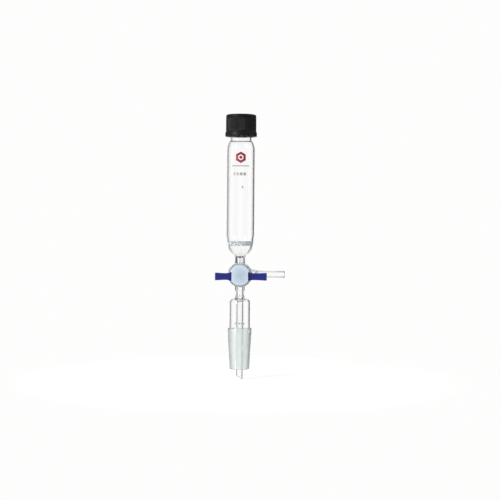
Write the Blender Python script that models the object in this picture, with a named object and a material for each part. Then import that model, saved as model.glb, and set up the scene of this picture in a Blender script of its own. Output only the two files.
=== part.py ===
"""Dropping funnel for small-scale solid-phase work, as separate glass and plastic parts.

A screw-capped borosilicate reservoir stands on a sintered disc.  Below the disc a bowl and a
capillary stem lead to a three-way stopcock with a side arm, and a second stem passes through a
ring seal into the drip tube of a 24/40 ground cone.

Frame: the origin is the centre of the ground cone's wide end, +Z runs up the funnel's axis,
+X points along the side arm and -Y towards the stopcock's handle.  All sizes are in
millimetres and are turned into metres when a mesh is made.
"""

from math import cos, pi, radians, sin

import bmesh
import bpy
from mathutils import Vector

MM = 0.001
SEAM = 0.3               # gap left where two pieces of glass are sealed together
SEGMENTS = 32            # facets round every turned piece
SMALL_SEGMENTS = 20      # facets round the slim ones

# ---- 24/40 ground cone and the shank above it ------------------------------------------------
CONE_TOP_R = 12.0
CONE_LENGTH = 40.0
CONE_TAPER = 0.05        # radius lost per millimetre: 1 in 10 on the diameter
CONE_WALL = 1.7
CONE_FOOT = 0.7          # length of the rounded foot below the ground length
SHANK_R = 10.35
SHANK_WALL = 1.2
SHANK_TOP = 29.9
DOME_HEIGHT = 4.0

# ---- drip tube --------------------------------------------------------------------------------
DRIP_R = 3.6
DRIP_BORE_R = 2.6
DRIP_TIP_MID = -49.35    # height of the slanting tip at the axis
DRIP_TIP_SLOPE = -0.46   # the tip's long side is the one under the side arm

# ---- stopcock: everything here is measured along the barrel, from the funnel's axis -----------
BARREL_Z = 54.2
BARREL_FRONT = -18.0
BARREL_REAR = 17.0
BORE_FRONT_R = 8.2
BORE_TAPER = 0.1         # radius lost per millimetre: 1 in 5 on the diameter
LIP_R = 12.2
PORT_R = 1.1             # cross holes through the barrel and the roots of its arms
PLUG_CLEARANCE = 0.15
PLUG_BORE_R = 1.0
PLUG_TAPER_END = 16.2
HEAD_R = 9.9
HEAD_FRONT = -30.5
HEAD_BACK = -20.0
TAIL_R = 3.5
TAIL_END = 33.0
TAIL_FLAT = 3.2          # half the distance across the tail's two flats
TAIL_PITCH = 2.0

# ---- handle bar -------------------------------------------------------------------------------
HANDLE_LEFT = -24.4
HANDLE_RIGHT = 26.4
HANDLE_FRONT = -28.4
HANDLE_BACK = -22.4
WEB_HALF = 3.5           # half height of the web inside the head
WING_ROOT = 8.4
WING_ROOT_HALF = 4.6
WING_WAIST_HALF = 3.25
WING_END_HALF = 3.85
BAR_DROP = 1.4           # the bar sits this far below the plug's axis
FIT_GAP = 0.3

# ---- pieces behind the barrel -----------------------------------------------------------------
WASHER = (17.4, 19.2)
WASHER_R = 7.6
ORING_Y = 20.75
ORING_RING_R = 5.7
ORING_CORD_R = 1.2
NUT = (22.3, 29.6)
NUT_R = 8.6
NUT_BORE_R = 4.45

# ---- side arm ---------------------------------------------------------------------------------
ARM_R = 3.6
ARM_BORE_R = 2.4
ARM_END = 44.5

# ---- stems and bowl ---------------------------------------------------------------------------
STEM_R = 5.1
STEM_TOP = 71.6
UPPER_BORE_R = 0.75      # capillary that empties the bowl
LOWER_STEM_R = 4.05
SEAL_R = 4.85
BOWL_TOP = 82.0

# ---- reservoir --------------------------------------------------------------------------------
BODY_R = 14.0
BODY_WALL = 1.4
SHOULDER_TOP = 187.0
NECK_R = 10.6
NECK_WALL = 1.6
FRIT = (82.9, 87.1)

# ---- threaded neck and cap --------------------------------------------------------------------
NECK_TOP = 207.2
THREAD_CREST_R = 12.0
THREAD_PITCH = 3.5
THREAD_START = 193.8
CAP_BOTTOM = 191.35
CAP_TOP = 213.3
CAP_R = 15.1
CAP_SKIRT_R = 15.8
CAP_BORE_R = 12.5
CAP_CREST_R = 11.5
CAP_CEILING = 210.8
LINER_R = 12.1
FACING = (207.5, 208.0)
SEPTUM = (208.3, 210.5)


# ---- outlines ---------------------------------------------------------------------------------

def smooth(points, steps=4):
    """A Catmull-Rom curve through the points, with `steps` stretches between neighbours."""
    guide = [Vector(p) for p in points]
    guide = [2 * guide[0] - guide[1]] + guide + [2 * guide[-1] - guide[-2]]
    curve = []
    for a, b, c, d in zip(guide, guide[1:], guide[2:], guide[3:]):
        for step in range(steps):
            t = step / steps
            curve.append(0.5 * (2 * b + (c - a) * t + (2 * a - 5 * b + 4 * c - d) * t ** 2
                                + (3 * b - a - 3 * c + d) * t ** 3))
    return [tuple(p) for p in curve] + [tuple(guide[-2])]


def arc(centre, radius, start, end, steps=4):
    """Points of a round corner, with its angles in degrees from the radial direction."""
    angles = [radians(start + (end - start) * i / steps) for i in range(steps + 1)]
    return [(centre[0] + radius * cos(a), centre[1] + radius * sin(a)) for a in angles]


def inset(path, wall):
    """The path moved to its right by the wall, seen along its direction of travel."""
    moved = []
    for i, point in enumerate(path):
        along = Vector(path[min(i + 1, len(path) - 1)]) - Vector(path[max(i - 1, 0)])
        along.normalize()
        moved.append((point[0] + along.y * wall, point[1] - along.x * wall))
    return moved


def tube_wall(outer, wall):
    """A closed outline: down the outer path and back up the inner side of the wall."""
    return outer + inset(outer, wall)[::-1]


def bore_radius(y):
    """Radius of the barrel's tapered bore at a place along the barrel."""
    return BORE_FRONT_R - BORE_TAPER * (y - BARREL_FRONT)


def cone_radius(z):
    """Radius of the ground cone at a height."""
    return CONE_TOP_R + CONE_TAPER * z


# ---- making objects ---------------------------------------------------------------------------

def clear_scene():
    for obj in list(bpy.data.objects):
        bpy.data.objects.remove(obj, do_unlink=True)


def make_material(name, color, roughness, transmission=0.0):
    mat = bpy.data.materials.new(name)
    mat.use_nodes = True
    shader = mat.node_tree.nodes["Principled BSDF"]
    shader.inputs["Base Color"].default_value = (*color, 1.0)
    shader.inputs["Roughness"].default_value = roughness
    shader.inputs["Metallic"].default_value = 0.0
    shader.inputs["Transmission Weight"].default_value = transmission
    mat.diffuse_color = (*color, 1.0)
    return mat


def add_object(name, bm, mat=None, parent=None):
    """Turn a bmesh into an object whose faces point outwards and whose round sides are smooth."""
    bmesh.ops.recalc_face_normals(bm, faces=bm.faces)
    mesh = bpy.data.meshes.new(name)
    bm.to_mesh(mesh)
    bm.free()
    mesh.shade_smooth()
    mesh.set_sharp_from_angle(angle=radians(35))
    obj = bpy.data.objects.new(name, mesh)
    bpy.context.scene.collection.objects.link(obj)
    obj.parent = parent
    if mat:
        mesh.materials.append(mat)
    return obj


def turned(name, outline, mat=None, parent=None, segments=SEGMENTS):
    """A solid turned about its own Z axis from a closed outline of (radius, height) points."""
    bm = bmesh.new()
    ring = [bm.verts.new((r * MM, 0.0, z * MM)) for r, z in outline]
    pairs = zip(ring, ring[1:] + ring[:1])
    edges = [bm.edges.new(pair) for pair in pairs if pair[0].co.x + pair[1].co.x > 1e-6]
    bmesh.ops.spin(bm, geom=ring + edges, cent=(0, 0, 0), axis=(0, 0, 1), angle=2 * pi,
                   steps=segments, use_merge=True)
    bmesh.ops.remove_doubles(bm, verts=bm.verts, dist=1e-7)
    return add_object(name, bm, mat, parent)


def plate(name, outline, front, back, mat=None, parent=None):
    """A flat outline of (x, z) points, extruded along the barrel from front to back.

    It is drawn in the barrel's own frame, where the third axis runs along the barrel.
    """
    bm = bmesh.new()
    face = bm.faces.new([bm.verts.new((x * MM, -z * MM, front * MM)) for x, z in outline])
    pushed = bmesh.ops.extrude_face_region(bm, geom=[face])
    verts = [item for item in pushed["geom"] if isinstance(item, bmesh.types.BMVert)]
    bmesh.ops.translate(bm, verts=verts, vec=(0, 0, (back - front) * MM))
    return add_object(name, bm, mat, parent)


def box_outline(x0, x1, half_height, middle=0.0):
    low, high = middle - half_height, middle + half_height
    return [(x0, low), (x1, low), (x1, high), (x0, high)]


def thread_ridge(name, wall_r, crest_r, pitch, widths, start, turns, parent=None,
                 steps=SEGMENTS, bury=0.5):
    """A right-handed helical ridge whose foot is buried in the wall it stands on.

    `widths` are the ridge's widths at the wall and at the crest; it runs out at both ends.
    """
    side = 1 if crest_r > wall_r else -1
    count = round(turns * steps)
    bm = bmesh.new()
    last = None
    for i in range(count + 1):
        angle = 2 * pi * i / steps
        runout = min(1.0, i / 6, (count - i) / 6)
        crest = wall_r - 0.15 * side + (crest_r - wall_r + 0.15 * side) * runout
        middle = start + pitch * i / steps
        foot, tip = widths[0] / 2, widths[1] / 2
        section = [(wall_r - bury * side, middle - foot), (crest, middle - tip),
                   (crest, middle + tip), (wall_r - bury * side, middle + foot)]
        verts = [bm.verts.new((r * cos(angle) * MM, r * sin(angle) * MM, z * MM))
                 for r, z in section]
        if last is None:
            bm.faces.new(verts)
        else:
            for j in range(4):
                k = (j + 1) % 4
                bm.faces.new((last[j], last[k], verts[k], verts[j]))
        last = verts
    bm.faces.new(last[::-1])
    return add_object(name, bm, parent=parent)


def combine(obj, tool, operation):
    """Join or cut an object with a helper shape, which stays in the file as a wire guide."""
    modifier = obj.modifiers.new(f"{operation.lower()} {tool.name}", "BOOLEAN")
    modifier.operation = operation
    modifier.solver = "EXACT"
    modifier.object = tool
    tool.hide_render = True
    tool.display_type = "WIRE"


def cross_hole(name, radius, length, direction, parent):
    """A round cutter from the barrel's axis outwards: up, down or along the side arm."""
    cutter = turned(name, [(0, 0), (radius, 0), (radius, length), (0, length)],
                    parent=parent, segments=16)
    # In the barrel's frame local Z runs along the barrel, local X towards the side arm.
    cutter.rotation_euler = {"up": (radians(90), 0, 0), "down": (radians(-90), 0, 0),
                             "arm": (0, radians(90), 0), "blind": (0, radians(-90), 0)}[direction]
    return cutter


# ---- glass above the frit ---------------------------------------------------------------------

def build_threaded_neck(glass):
    """Open neck with a rounded lip and a coarse moulded thread for the cap."""
    bottom = SHOULDER_TOP + SEAM / 2
    inner_r = NECK_R - NECK_WALL
    outline = [(NECK_R, bottom)] + arc((NECK_R - 0.7, NECK_TOP - 0.7), 0.7, 0, 90)
    outline += arc((inner_r + 0.7, NECK_TOP - 0.7), 0.7, 90, 180)
    outline += [(inner_r, bottom)]
    neck = turned("threaded_neck", outline, glass)
    ridge = thread_ridge("neck_thread_guide", NECK_R, THREAD_CREST_R, THREAD_PITCH,
                         (1.9, 0.9), start=THREAD_START, turns=3.4)
    combine(neck, ridge, "UNION")


def build_reservoir(glass):
    """Shoulder, straight wall and the drawn-in foot that holds the sintered disc."""
    shoulder = smooth([(NECK_R + 0.05, SHOULDER_TOP - SEAM / 2), (12.0, 185.75), (12.9, 184.2),
                       (13.5, 182.4), (13.9, 180.6), (BODY_R, 178.5)], steps=2)
    foot = smooth([(BODY_R, 94.5), (13.8, 91.8), (13.4, 89.8), (13.1, 87.0), (12.85, 84.5),
                   (12.2, BOWL_TOP + SEAM / 2)], steps=1)
    turned("reservoir_tube", tube_wall(shoulder + foot, BODY_WALL), glass)


def build_fritted_disc(frit):
    low, high = FRIT
    turned("fritted_disc", [(0, low), (10.6, low), (11.35, high), (0, high)], frit)


# ---- glass below the frit ---------------------------------------------------------------------

def build_lower_bowl(glass):
    """Rounded bowl that gathers the filtrate into the stem's capillary."""
    outer = smooth([(12.15, BOWL_TOP - SEAM / 2), (11.75, 79.8), (11.0, 77.8), (9.5, 76.1),
                    (7.3, 74.1), (5.9, 72.8), (STEM_R + 0.1, STEM_TOP + SEAM)], steps=1)
    inner = smooth([(UPPER_BORE_R, STEM_TOP + SEAM), (UPPER_BORE_R, 72.9), (3.4, 74.0),
                    (6.2, 75.4), (8.4, 77.1), (9.75, 78.9), (10.4, 80.4),
                    (10.8, BOWL_TOP - SEAM / 2)], steps=1)
    turned("lower_bowl", outer + inner, glass)


def barrel_envelope(parent):
    """The barrel's outside made larger by the seam, to shape the ends welded to it."""
    wide = [(r + SEAM, y) for r, y in barrel_outside()]
    return turned("barrel_envelope_guide", [(0, BARREL_FRONT)] + wide + [(0, BARREL_REAR)],
                  parent=parent)


def build_stems(glass, envelope):
    """Capillary stem above the barrel and wide one below, each with a saddle end on it."""
    outer = [(STEM_R, STEM_TOP), (STEM_R, 67.0), (5.6, 64.5), (6.1, BARREL_Z + 6)]
    inner = [(UPPER_BORE_R, BARREL_Z + 6), (UPPER_BORE_R, STEM_TOP)]
    upper = turned("upper_stem", outer + inner, glass, segments=SMALL_SEGMENTS)
    combine(upper, envelope, "DIFFERENCE")

    seal_bottom = SHANK_TOP + SEAM
    outer = [(5.8, BARREL_Z - 6)]
    outer += smooth([(5.3, 44.4), (5.1, 41.2), (4.9, 38.6), (4.25, 36.8), (LOWER_STEM_R, 35.3),
                     (LOWER_STEM_R, 33.2)], steps=1)
    outer += [(SEAL_R, 32.2), (SEAL_R, seal_bottom)]
    inner = [(DRIP_BORE_R, seal_bottom), (DRIP_BORE_R, 42.6), (PORT_R, 44.6),
             (PORT_R, BARREL_Z - 6)]
    lower = turned("lower_stem", outer + inner, glass, segments=SMALL_SEGMENTS)
    combine(lower, envelope, "DIFFERENCE")


def build_side_arm(glass, envelope):
    """Straight hose arm with a flared root on the barrel and a fire-polished end."""
    outer = [(5.6, 6.5)]
    outer += smooth([(5.3, 9.0), (4.7, 12.0), (4.0, 16.5), (ARM_R, 21.5)], steps=1)
    outer += arc((ARM_R - 0.3, ARM_END - 0.3), 0.3, 0, 90, steps=2)
    inner = arc((ARM_BORE_R + 0.2, ARM_END - 0.2), 0.2, 90, 180, steps=2)
    inner += [(ARM_BORE_R, 18.0), (PORT_R, 14.5), (PORT_R, 6.5)]
    arm = turned("side_arm", outer + inner, glass, segments=SMALL_SEGMENTS)
    arm.location.z = BARREL_Z * MM
    arm.rotation_euler.y = radians(90)
    combine(arm, envelope, "DIFFERENCE")


def build_joint(glass, frosted):
    """Ring-sealed shank, ground cone and the drip tube that hangs inside both."""
    hole_r = DRIP_R + SEAM
    dome = smooth([(hole_r, SHANK_TOP), (7.4, 29.6), (9.2, 28.9), (10.1, 27.6),
                   (SHANK_R, SHANK_TOP - DOME_HEIGHT)], steps=2)
    shank_bottom = 1.5
    outer = dome + [(SHANK_R, shank_bottom)]
    inner = inset(dome, SHANK_WALL)[1:] + [(SHANK_R - SHANK_WALL, shank_bottom)]
    inner = [(hole_r, SHANK_TOP - SHANK_WALL)] + inner
    turned("joint_shank", outer + inner[::-1], glass)

    top = shank_bottom - SEAM
    foot = -CONE_LENGTH - CONE_FOOT
    foot_r = cone_radius(-CONE_LENGTH)
    outer = [(SHANK_R, top), (SHANK_R + 0.25, 0.45), (11.75, 0.3), (cone_radius(-0.2), -0.2)]
    outer += [(foot_r, -CONE_LENGTH)] + arc((foot_r - 0.5, foot + 0.5), 0.5, 0, -90, steps=3)
    inner_low = foot_r - CONE_WALL
    inner = [(inner_low + 0.2, foot), (inner_low, foot + 0.3)]
    inner += [(CONE_TOP_R - CONE_WALL, -2.0), (SHANK_R - SHANK_WALL, top)]
    turned("ground_cone", outer + inner, frosted)

    tip_top = DRIP_TIP_MID + 5
    outline = [(DRIP_R, SHANK_TOP), (DRIP_R, tip_top), (DRIP_R, DRIP_TIP_MID),
               (DRIP_BORE_R, DRIP_TIP_MID), (DRIP_BORE_R, tip_top), (DRIP_BORE_R, SHANK_TOP)]
    drip = turned("drip_tube", outline, glass, segments=SMALL_SEGMENTS)
    for vert in drip.data.vertices:
        if vert.co.z < (DRIP_TIP_MID + 1) * MM:
            vert.co.z += DRIP_TIP_SLOPE * vert.co.x


# ---- stopcock ---------------------------------------------------------------------------------

def barrel_outside():
    """The barrel's outer side from front to rear, with a heavy front lip and a rear bead."""
    front = arc((LIP_R - 0.9, BARREL_FRONT + 0.9), 0.9, -90, 0, steps=3)
    rear = arc((7.9, BARREL_REAR - 0.9), 0.9, 0, 90, steps=3)
    waist = smooth([(LIP_R, -15.6), (10.8, -13.6), (9.9, -11.0), (8.9, 0.0), (8.1, 12.0),
                    (8.8, 15.0)], steps=1)
    return front + waist + rear


def build_barrel(glass, axis):
    inner = [(bore_radius(BARREL_REAR), BARREL_REAR), (bore_radius(BARREL_FRONT), BARREL_FRONT)]
    barrel = turned("stopcock_barrel", barrel_outside() + inner, glass, parent=axis)
    for direction in ("up", "down", "arm"):
        combine(barrel, cross_hole(f"port_{direction}_guide", PORT_R, 16, direction, axis),
                "DIFFERENCE")


def build_plug(ptfe, axis):
    """Tapered plug with a T bore, a slotted head for the bar and a threaded tail."""
    front_r = bore_radius(BARREL_FRONT) - PLUG_CLEARANCE
    end_r = bore_radius(PLUG_TAPER_END) - PLUG_CLEARANCE
    outline = [(0, HEAD_FRONT)] + arc((HEAD_R - 0.6, HEAD_FRONT + 0.6), 0.6, -90, 0, steps=3)
    outline += arc((HEAD_R - 0.4, HEAD_BACK - 0.4), 0.4, 0, 90, steps=2)
    outline += [(front_r, HEAD_BACK), (front_r, BARREL_FRONT), (end_r, PLUG_TAPER_END),
                (TAIL_R, PLUG_TAPER_END + 0.6), (TAIL_R, TAIL_END - 0.6),
                (TAIL_R - 0.6, TAIL_END), (0, TAIL_END)]
    plug = turned("stopcock_plug", outline, ptfe, parent=axis)
    ridge = thread_ridge("tail_thread_guide", TAIL_R, TAIL_R + 0.6, TAIL_PITCH, (1.1, 0.5),
                         start=20.2, turns=5.5, parent=axis, steps=20)
    combine(plug, ridge, "UNION")
    for side in (-1, 1):
        flat = plate(f"tail_flat_guide_{side}", box_outline(side * TAIL_FLAT, side * 6, 6),
                     PLUG_TAPER_END + 0.7, TAIL_END + 1, parent=axis)
        combine(plug, flat, "DIFFERENCE")
    for direction in ("up", "arm", "blind"):
        combine(plug, cross_hole(f"bore_{direction}_guide", PLUG_BORE_R, 12, direction, axis),
                "DIFFERENCE")
    slot = plate("head_slot_guide", box_outline(-12, 12, WEB_HALF + FIT_GAP, -BAR_DROP),
                 HANDLE_FRONT - FIT_GAP, HANDLE_BACK + FIT_GAP, parent=axis)
    combine(plug, slot, "DIFFERENCE")
    for side in (-1, 1):
        outline = box_outline(side * (WING_ROOT - FIT_GAP), side * 12, WING_ROOT_HALF + FIT_GAP,
                              -BAR_DROP)
        notch = plate(f"head_notch_guide_{side}", outline, HEAD_FRONT - 1,
                      HANDLE_BACK + FIT_GAP, parent=axis)
        combine(plug, notch, "DIFFERENCE")


def wing_outline(tip):
    """Upper edge of one wing from its root to its rounded tip; `tip` may be negative."""
    side = 1 if tip > 0 else -1
    reach = abs(tip)
    edge = smooth([(WING_ROOT, WING_ROOT_HALF), (10.4, 3.7), (14.0, WING_WAIST_HALF),
                   (18.5, 3.5), (reach - 1.6, WING_END_HALF)], steps=2)
    edge += arc((reach - 0.9, WING_END_HALF - 0.9), 0.9, 90, 0, steps=3)
    return [(side * x, z) for x, z in edge]


def build_handle(blue, axis):
    """One bar through the plug's head, with a waisted wing on each side."""
    right, left = wing_outline(HANDLE_RIGHT), wing_outline(HANDLE_LEFT)
    web = [(-WING_ROOT, WEB_HALF), (WING_ROOT, WEB_HALF)]
    upper = left[::-1] + web + right
    outline = [(x, z - BAR_DROP) for x, z in upper + [(x, -z) for x, z in upper[::-1]]]
    handle = plate("stopcock_handle", outline, HANDLE_FRONT, HANDLE_BACK, blue, parent=axis)
    bevel = handle.modifiers.new("rounded edges", "BEVEL")
    bevel.width = 0.5 * MM
    bevel.segments = 2
    bevel.limit_method = "ANGLE"
    bevel.angle_limit = radians(60)


def build_tension_set(ptfe, rubber, white, axis):
    """Keyed washer, O-ring and nut that draw the plug into its taper."""
    y0, y1 = WASHER
    washer = turned("thrust_washer", [(0, y0), (WASHER_R, y0), (WASHER_R, y1), (0, y1)],
                    ptfe, parent=axis)
    flat = TAIL_FLAT + FIT_GAP
    round_r = TAIL_R + 0.6 + FIT_GAP
    side = [(flat, -(round_r ** 2 - flat ** 2) ** 0.5), (flat, (round_r ** 2 - flat ** 2) ** 0.5)]
    rim = [(round_r * cos(a), round_r * sin(a)) for a in
           [radians(40 + 10 * i) for i in range(11)]]
    hole = side + rim + [(-x, -z) for x, z in side + rim]
    keyed = plate("washer_hole_guide", hole, y0 - 1, y1 + 1, parent=axis)
    combine(washer, keyed, "DIFFERENCE")

    ring = arc((ORING_RING_R, ORING_Y), ORING_CORD_R, 0, 315, steps=7)
    turned("tension_oring", ring, rubber, parent=axis, segments=SMALL_SEGMENTS)

    y0, y1 = NUT
    outline = [(NUT_BORE_R, y0), (NUT_R - 0.6, y0), (NUT_R, y0 + 0.6), (NUT_R, y1 - 0.8),
               (NUT_R - 0.8, y1), (NUT_BORE_R, y1)]
    nut = turned("tension_nut", outline, white, parent=axis)
    ridge = thread_ridge("nut_thread_guide", NUT_BORE_R, TAIL_R + 0.4, TAIL_PITCH, (0.9, 0.4),
                         start=20.2 + 1.5 * TAIL_PITCH, turns=2.5, parent=axis, steps=20)
    combine(nut, ridge, "UNION")


# ---- cap --------------------------------------------------------------------------------------

def build_cap(black, silicone, ptfe):
    """Closed screw cap with a flared skirt, and the faced septum that seals on the lip."""
    corner = 1.6
    outline = [(0, CAP_TOP)] + arc((CAP_R - corner, CAP_TOP - corner), corner, 90, 0)
    outline += [(CAP_R, CAP_BOTTOM + 5.2), (CAP_SKIRT_R, CAP_BOTTOM + 3.4)]
    outline += arc((CAP_SKIRT_R - 0.5, CAP_BOTTOM + 0.5), 0.5, 0, -90, steps=2)
    outline += [(CAP_BORE_R + 0.4, CAP_BOTTOM), (CAP_BORE_R, CAP_BOTTOM + 0.8),
                (CAP_BORE_R, CAP_CEILING), (0, CAP_CEILING)]
    cap = turned("screw_cap", outline, black)
    ridge = thread_ridge("cap_thread_guide", CAP_BORE_R, CAP_CREST_R, THREAD_PITCH, (1.3, 0.7),
                         start=THREAD_START + THREAD_PITCH / 2, turns=3.0)
    combine(cap, ridge, "UNION")

    low, high = SEPTUM
    turned("septum", [(0, low), (LINER_R, low), (LINER_R, high), (0, high)], silicone)
    low, high = FACING
    turned("septum_facing", [(0, low), (LINER_R, low), (LINER_R, high), (0, high)], ptfe)


def main():
    clear_scene()
    glass = make_material("borosilicate_glass", (0.93, 0.96, 0.96), 0.02, transmission=1.0)
    frosted = make_material("ground_glass", (0.80, 0.84, 0.84), 0.55, transmission=0.5)
    frit = make_material("sintered_glass", (0.46, 0.50, 0.56), 0.85)
    ptfe = make_material("ptfe", (0.60, 0.66, 0.84), 0.35)
    blue = make_material("blue_polypropylene", (0.02, 0.02, 0.26), 0.38)
    white = make_material("white_nylon", (0.78, 0.79, 0.80), 0.45)
    black = make_material("black_phenolic", (0.03, 0.03, 0.03), 0.42)
    silicone = make_material("red_silicone", (0.55, 0.16, 0.10), 0.60)
    rubber = make_material("black_rubber", (0.02, 0.02, 0.02), 0.65)

    axis = bpy.data.objects.new("stopcock_axis", None)
    axis.location.z = BARREL_Z * MM
    axis.rotation_euler.x = radians(-90)
    bpy.context.scene.collection.objects.link(axis)

    build_threaded_neck(glass)
    build_reservoir(glass)
    build_fritted_disc(frit)
    build_lower_bowl(glass)
    envelope = barrel_envelope(axis)
    build_stems(glass, envelope)
    build_side_arm(glass, envelope)
    build_joint(glass, frosted)
    build_barrel(glass, axis)
    build_plug(ptfe, axis)
    build_handle(blue, axis)
    build_tension_set(ptfe, rubber, white, axis)
    build_cap(black, silicone, ptfe)


main()
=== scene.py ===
"""Looks of the dropping funnel: fused glass, sintered disc, PTFE stopcock, blue bar, black cap.

All sizes are in millimetres in the CAD frame: the origin is the centre of the ground cone's wide
end, +Z runs up the funnel, +X along the side arm and -Y towards the stopcock's handle.  They
are turned into metres when a mesh is made.
"""

from math import acos, asin, atan2, ceil, cos, hypot, pi, radians, sin

import bmesh
import bpy
from mathutils import Matrix, Vector


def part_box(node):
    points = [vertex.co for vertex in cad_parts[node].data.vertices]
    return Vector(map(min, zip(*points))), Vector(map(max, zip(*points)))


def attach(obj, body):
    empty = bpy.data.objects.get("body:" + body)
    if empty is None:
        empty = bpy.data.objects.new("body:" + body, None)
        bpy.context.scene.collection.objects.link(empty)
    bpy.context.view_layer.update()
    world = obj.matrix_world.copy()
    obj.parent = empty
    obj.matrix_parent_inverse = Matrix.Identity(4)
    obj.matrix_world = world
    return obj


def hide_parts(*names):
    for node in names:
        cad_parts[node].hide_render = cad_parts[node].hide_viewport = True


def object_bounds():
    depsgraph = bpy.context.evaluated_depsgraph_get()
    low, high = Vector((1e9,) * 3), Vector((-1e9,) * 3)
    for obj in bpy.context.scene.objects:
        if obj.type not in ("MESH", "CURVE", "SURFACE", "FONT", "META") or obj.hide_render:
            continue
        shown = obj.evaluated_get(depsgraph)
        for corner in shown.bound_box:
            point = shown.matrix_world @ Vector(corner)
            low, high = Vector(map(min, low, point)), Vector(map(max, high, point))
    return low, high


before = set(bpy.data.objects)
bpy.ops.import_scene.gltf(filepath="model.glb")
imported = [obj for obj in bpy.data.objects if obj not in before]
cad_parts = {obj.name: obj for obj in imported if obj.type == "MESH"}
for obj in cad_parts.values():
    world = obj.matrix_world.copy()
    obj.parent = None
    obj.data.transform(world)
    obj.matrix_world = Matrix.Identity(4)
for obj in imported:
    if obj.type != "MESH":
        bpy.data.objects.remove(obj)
CAD_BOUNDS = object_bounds()

MM = 0.001


def cad_span(node, axis):
    """The lowest and highest place of a CAD node along an axis, in millimetres."""
    low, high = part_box(node)
    return low[axis] / MM, high[axis] / MM


# ---- sizes read from the CAD nodes -------------------------------------------------------------
NECK_TOP = cad_span("threaded_neck", 2)[1]
BODY_R = cad_span("reservoir_tube", 0)[1]
FRIT_LOW, FRIT_HIGH = cad_span("fritted_disc", 2)
BARREL_FRONT, BARREL_REAR = cad_span("stopcock_barrel", 1)
LIP_R = cad_span("stopcock_barrel", 0)[1]
BARREL_Z = sum(cad_span("stopcock_barrel", 2)) / 2
ARM_END = cad_span("side_arm", 0)[1]
SHANK_R = cad_span("joint_shank", 0)[1]
SHANK_TOP = cad_span("joint_shank", 2)[1]
CONE_FOOT = cad_span("ground_cone", 2)[0]
DRIP_R = cad_span("drip_tube", 0)[1]
HEAD_FRONT, TAIL_END = cad_span("stopcock_plug", 1)
HEAD_R = cad_span("stopcock_plug", 0)[1]
HANDLE_LEFT, HANDLE_RIGHT = cad_span("stopcock_handle", 0)
HANDLE_FRONT, HANDLE_BACK = cad_span("stopcock_handle", 1)
BAR_DROP = BARREL_Z - sum(cad_span("stopcock_handle", 2)) / 2
WASHER_FRONT, WASHER_BACK = cad_span("thrust_washer", 1)
WASHER_R = cad_span("thrust_washer", 0)[1]
ORING_FRONT, ORING_BACK = cad_span("tension_oring", 1)
ORING_R = cad_span("tension_oring", 0)[1]
NUT_FRONT, NUT_BACK = cad_span("tension_nut", 1)
NUT_R = cad_span("tension_nut", 0)[1]
SEPTUM_LOW, SEPTUM_HIGH = cad_span("septum", 2)
FACING_LOW, FACING_HIGH = cad_span("septum_facing", 2)
LINER_R = cad_span("septum", 0)[1]
CAP_BOTTOM, CAP_TOP = cad_span("screw_cap", 2)
CAP_SKIRT_R = cad_span("screw_cap", 0)[1]

# ---- sizes that the boxes don't give -------------------------------------------------------------
BODY_WALL = 1.4
SHANK_WALL = 1.2
NECK_R = 10.6
NECK_BORE_R = NECK_R - BODY_WALL
THREAD_CREST_R = 11.95
THREAD_PITCH = 3.5
THREAD_START = 193.8
STEM_R = 5.1
PORT_R = 1.1
UPPER_BORE_R = 0.75
BORE_FRONT_R = 8.15
BORE_TAPER = 0.1            # radius lost per millimetre: 1 in 5 on the diameter
ARM_R = 3.6
ARM_BORE_R = 2.4
DRIP_BORE_R = 2.6
TIP_SLOPE = -0.46
TIP_MID = cad_span("drip_tube", 2)[0] - TIP_SLOPE * DRIP_R
CONE_TOP_R = 12.0
CONE_TAPER = 0.05           # radius lost per millimetre: 1 in 10 on the diameter
CONE_LENGTH = 40.0
CONE_WALL = 1.7
PLUG_END = 16.2             # rear end of the plug's taper
PLUG_BORE_R = 1.0
HEAD_BACK = -20.0
TAIL_R = 3.5
TAIL_FLAT = 3.2             # half the distance across the tail's two flats
TAIL_PITCH = 2.0
TAIL_THREAD_START = 20.2
NUT_BORE_R = 4.45
WING_ROOT = 8.3             # where the bar leaves the head and widens into a wing
WING_WAIST = 14.0
SLOT_HALF = 3.8             # half height of the head's slot for the bar
CAP_R = 15.1
CAP_BORE_R = 12.5
CAP_CEILING = 210.8

# Heights of the printed marks.
EMBLEM_Z = 170.2
RULE_Z = 161.8
SCALE_BARS_Z = 153.8
SCALE_DOT_Z = 140.8
CONE_BARS_Z = 5.4

GLASS_IOR = 1.474

# Matrices that lay a piece turned about Z along the barrel or along the side arm.
ALONG_BARREL = Matrix.Translation((0, 0, BARREL_Z * MM)) @ Matrix.Rotation(radians(-90), 4, "X")
ALONG_ARM = Matrix.Translation((0, 0, BARREL_Z * MM)) @ Matrix.Rotation(radians(90), 4, "Y")
UPRIGHT = Matrix.Identity(4)


# ================================================================================================
# Mesh tools
# ================================================================================================

def smooth(points, steps=6):
    """A Catmull-Rom curve through the points, with `steps` stretches between neighbours."""
    guide = [Vector(p) for p in points]
    guide = [2 * guide[0] - guide[1]] + guide + [2 * guide[-1] - guide[-2]]
    curve = []
    for a, b, c, d in zip(guide, guide[1:], guide[2:], guide[3:]):
        for step in range(steps):
            t = step / steps
            curve.append(0.5 * (2 * b + (c - a) * t + (2 * a - 5 * b + 4 * c - d) * t ** 2
                                + (3 * b - a - 3 * c + d) * t ** 3))
    return [tuple(p) for p in curve] + [tuple(guide[-2])]


def arc(centre, radius, start, end, steps=8):
    """Points of a round corner; the angles are in degrees from the radial direction."""
    angles = [radians(start + (end - start) * i / steps) for i in range(steps + 1)]
    return [(centre[0] + radius * cos(a), centre[1] + radius * sin(a)) for a in angles]


def inset(path, wall):
    """The path moved inwards by the wall, for a path that runs down an outer side."""
    moved = []
    for i, point in enumerate(path):
        along = Vector(path[min(i + 1, len(path) - 1)]) - Vector(path[max(i - 1, 0)])
        along.normalize()
        moved.append((point[0] + along.y * wall, point[1] - along.x * wall))
    return moved


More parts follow.
